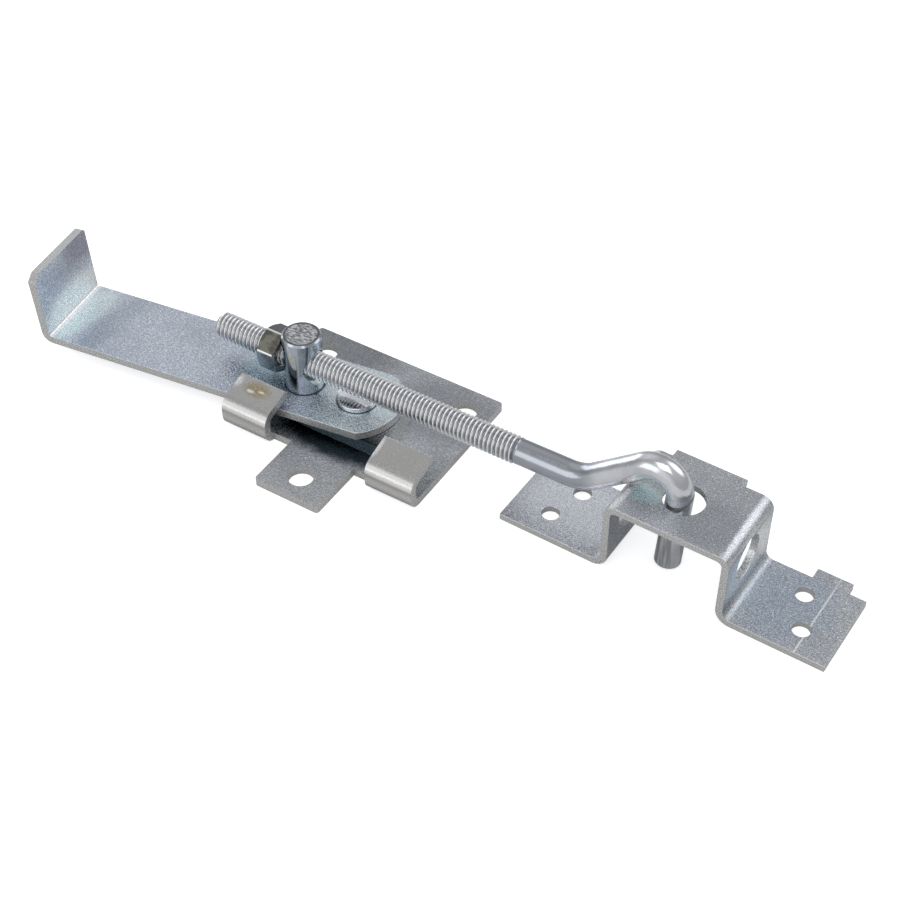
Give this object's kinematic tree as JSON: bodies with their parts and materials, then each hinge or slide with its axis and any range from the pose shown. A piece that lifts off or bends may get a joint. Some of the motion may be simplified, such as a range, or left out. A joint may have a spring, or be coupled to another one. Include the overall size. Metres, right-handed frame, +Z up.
{
  "type": "jamb latch",
  "caption": "Jamb latch: a flat lever on a screwed base plate swings a pivoting post, which draws a threaded hook rod out of its hat-shaped keeper.",
  "frame": {"origin": "on the plate's mounting plane, under the lever's pivot", "axes": "+X along the hook rod to the keeper, +Y to the plate's back edge with two screw holes, +Z up off the mounting plane"},
  "size_m": [0.2979, 0.0741, 0.0422],
  "materials": {
    "base_plate": "zinc plated",
    "pivot_rivet": "zinc plated",
    "lever": "zinc plated",
    "swivel_post": "zinc plated",
    "hook_rod": "zinc plated",
    "hex_nut": "zinc plated",
    "keeper": "zinc plated"
  },
  "bodies": {
    "base": {"base_plate": "base_plate", "pivot_rivet": "pivot_rivet"},
    "lever": {"lever": "lever"},
    "post": {"swivel_post": "swivel_post"},
    "hook": {"hook_rod": "hook_rod", "keeper": "keeper"},
    "nut": {"hex_nut": "hex_nut"}
  },
  "joints": [
    {"name": "lever_pivot", "type": "hinge", "parent": "base", "child": "lever", "pos_m": [0, 0, 0], "axis": [0, 0, 1], "range_deg": [-150, 0]},
    {"name": "post_swivel", "type": "hinge", "parent": "lever", "child": "post", "pos_m": [-0.02008, -0.00221, 0], "axis": [0, 0, 1], "range_deg": [0, 150]},
    {"name": "rod_slide", "type": "slide", "parent": "post", "child": "hook", "axis": [1, 0.0035, 0], "range_m": [-0.025, 0]},
    {"name": "nut_turn", "type": "hinge", "parent": "hook", "child": "nut", "pos_m": [-0.02008, -0.00221, 0.0201], "axis": [1, 0.0035, 0], "continuous": true}
  ],
  "couplings": [
    {"joint": "post_swivel", "follows": "lever_pivot", "ratio": -1}
  ]
}
